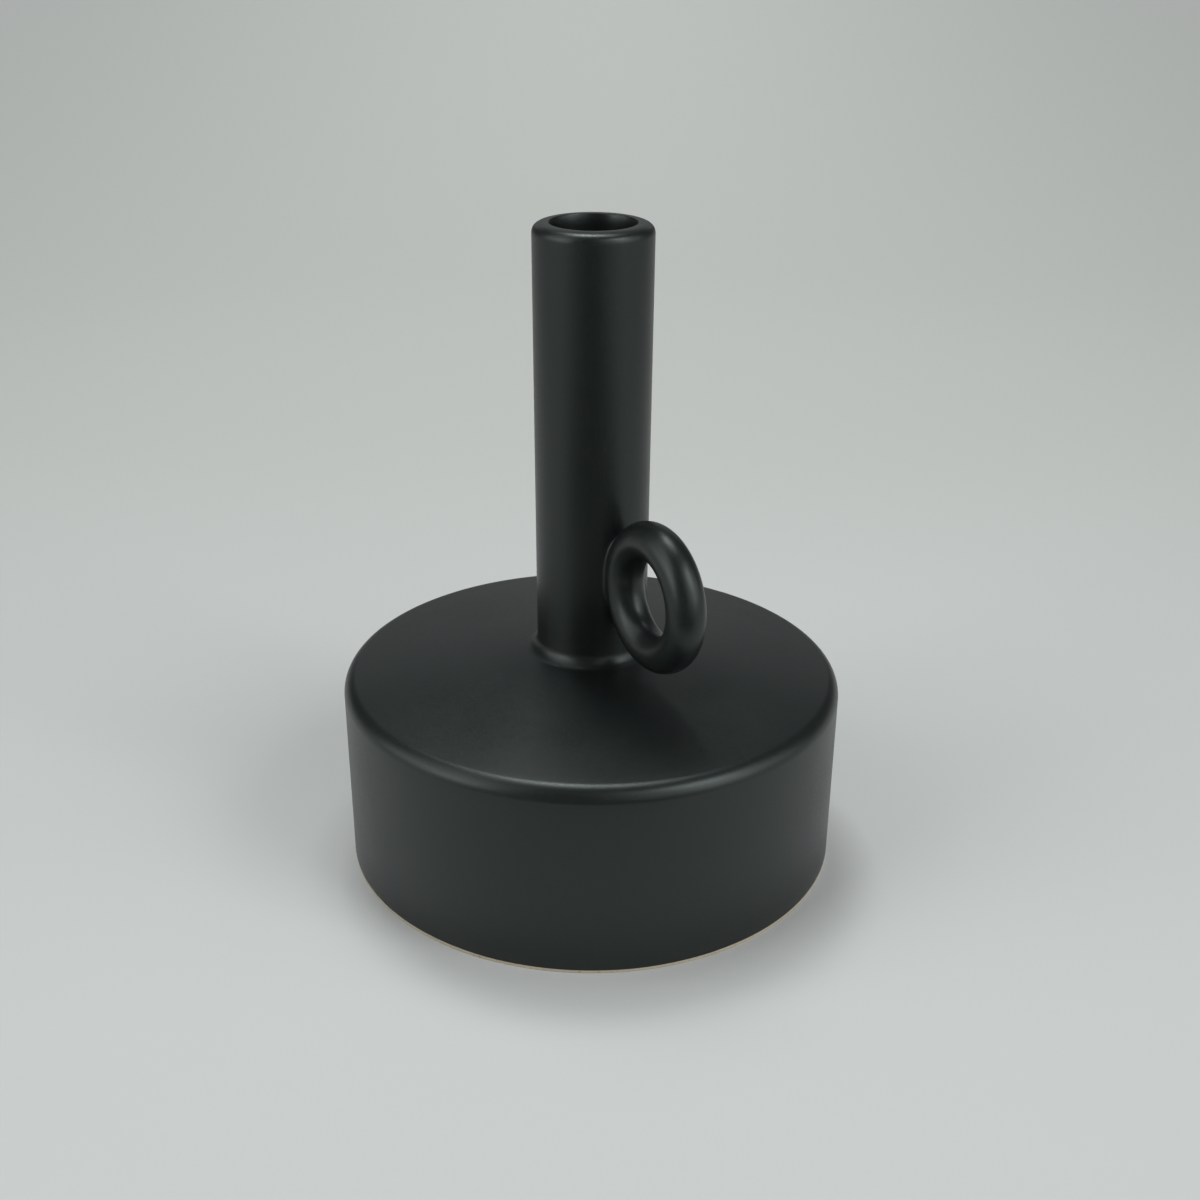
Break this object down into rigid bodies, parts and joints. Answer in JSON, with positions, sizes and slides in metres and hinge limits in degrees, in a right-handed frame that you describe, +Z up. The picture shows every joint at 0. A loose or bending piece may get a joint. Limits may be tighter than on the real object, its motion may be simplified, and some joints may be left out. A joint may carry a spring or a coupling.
{
  "type": "candlestick",
  "caption": "Black glazed ceramic candlestick: wide hollow drum base, tall tube neck for a dinner candle, and a solid ring handle on the neck's side.",
  "frame": {"origin": "centre of the drum's foot, on the surface that it stands on", "axes": "+Z up along the neck's axis, +X from the neck towards the ring handle, +Y to complete a right-handed frame"},
  "size_m": [0.1412, 0.1412, 0.18],
  "materials": {
    "black_glaze": "satin",
    "bare_clay": "matte"
  },
  "bodies": {
    "root": {"drum_shell": "black_glaze", "foot_ring": "bare_clay", "neck_tube": "black_glaze", "neck_fillet": "black_glaze", "candle_stop": "bare_clay", "ring_handle": "black_glaze", "ring_fillet": "black_glaze"}
  },
  "joints": []
}
